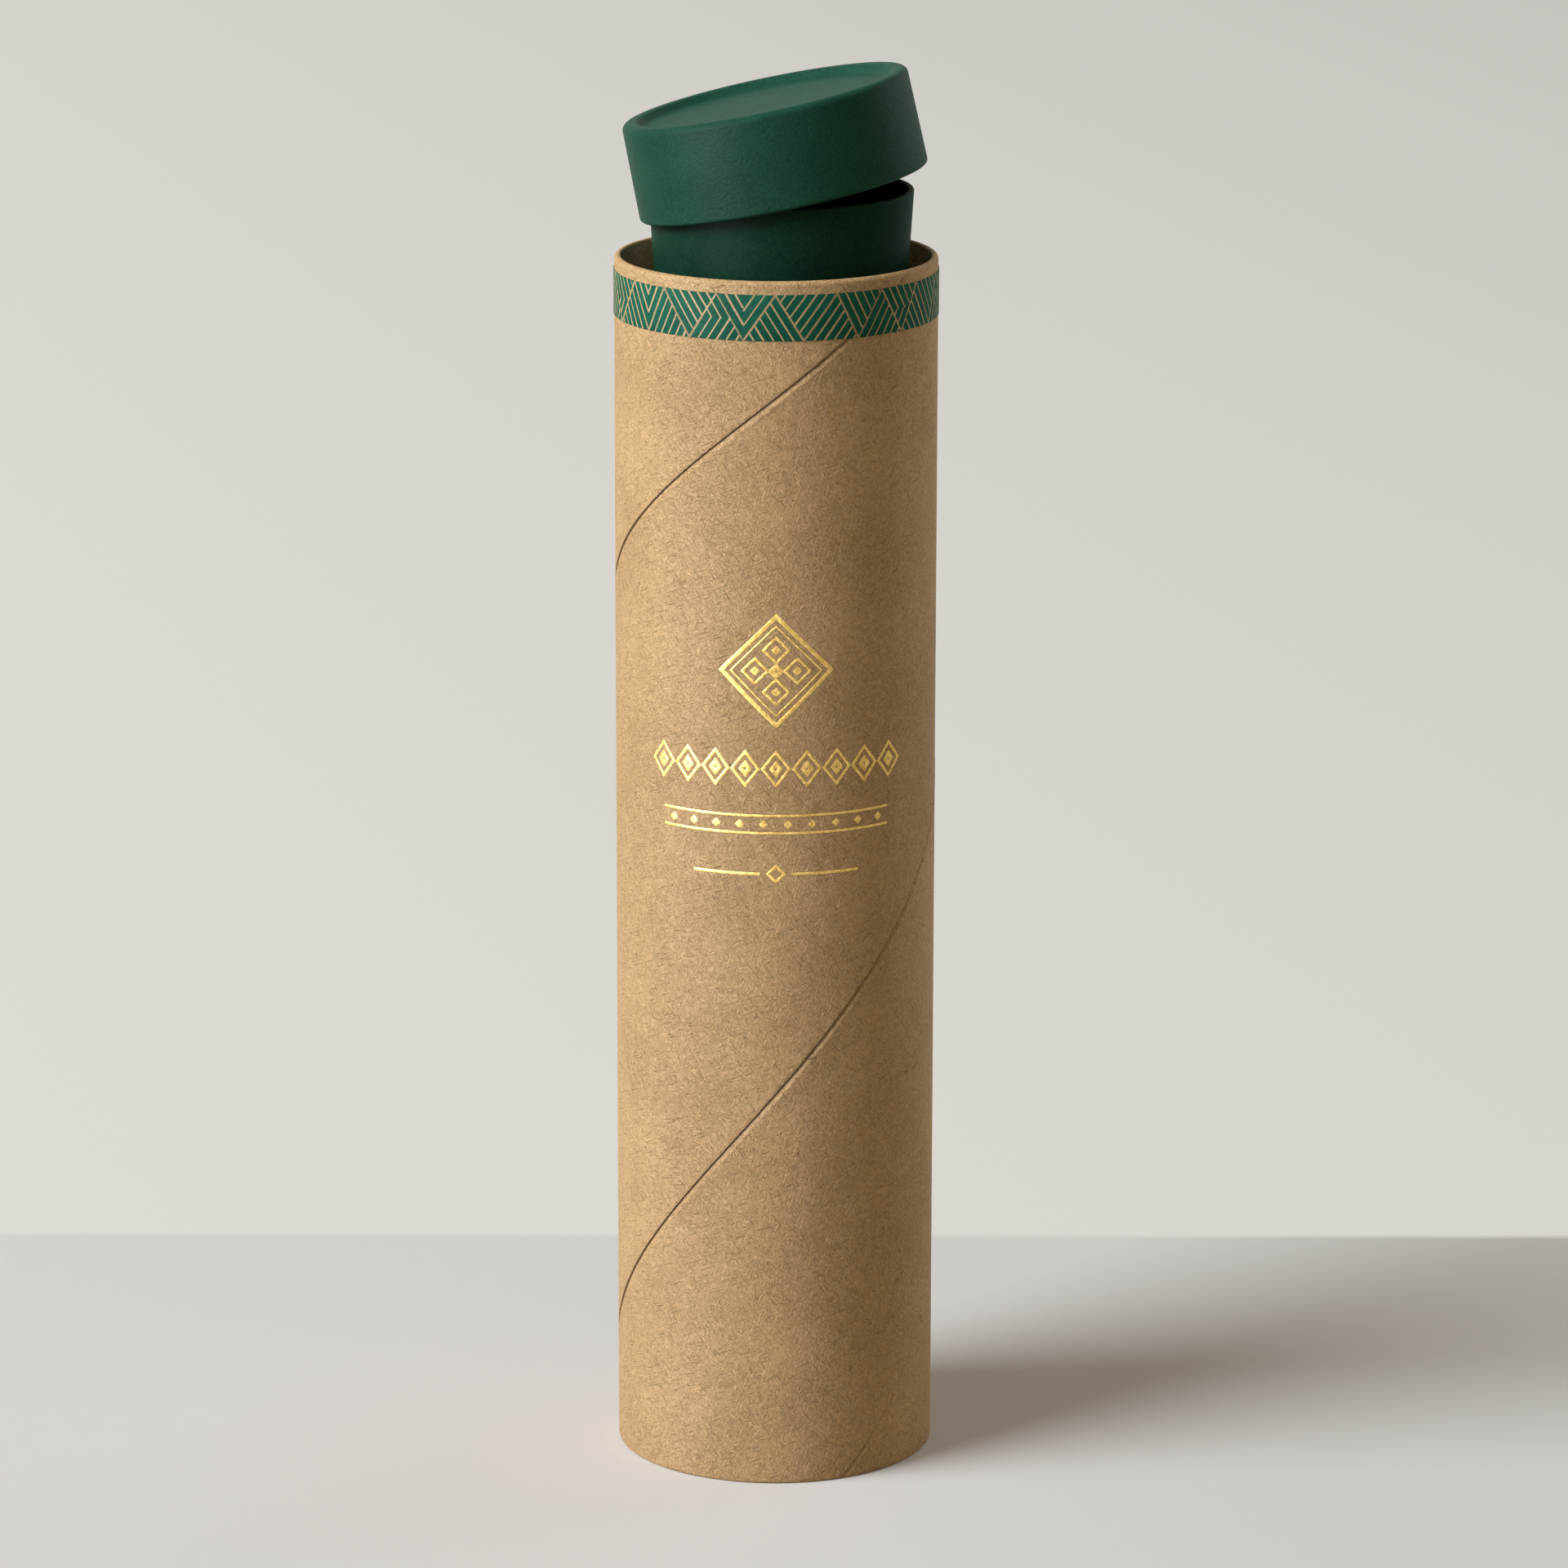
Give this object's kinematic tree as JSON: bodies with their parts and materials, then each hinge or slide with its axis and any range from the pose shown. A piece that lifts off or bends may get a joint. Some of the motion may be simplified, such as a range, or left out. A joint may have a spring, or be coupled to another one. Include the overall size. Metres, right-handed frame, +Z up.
{
  "type": "kraft paper tube",
  "caption": "Tall spiral-wound kraft paper tube with a patterned green band under its curled lip, a green inner tube standing in it, and a green lid cocked on the inner tube's mouth.",
  "frame": {"origin": "centre of the outer tube's foot, on the surface that it stands on", "axes": "+Z up along the tube, +X towards the raised side of the lid, -Y towards the front"},
  "size_m": [0.0798, 0.0798, 0.3509],
  "materials": {
    "kraft_board": "matt brown kraft paper with fine fibres",
    "printed_paper": "matt green print with bare kraft lines",
    "base_board": "matt brown kraft board",
    "green_board": "matt dark green paper with a fine grain",
    "inner_base_board": "matt dark green board",
    "green_lid": "matt dark green with a fine stipple grain"
  },
  "bodies": {
    "tube": {"outer_tube": "kraft_board", "printed_band": "printed_paper", "base_disc": "base_board", "inner_tube": "green_board", "inner_base_disc": "inner_base_board"},
    "cap": {"lid": "green_lid"}
  },
  "joints": [
    {"name": "lid_lift", "type": "slide", "parent": "tube", "child": "cap", "axis": [-0.2055, 0.0248, 0.9783], "range_m": [0, 0.08]}
  ]
}
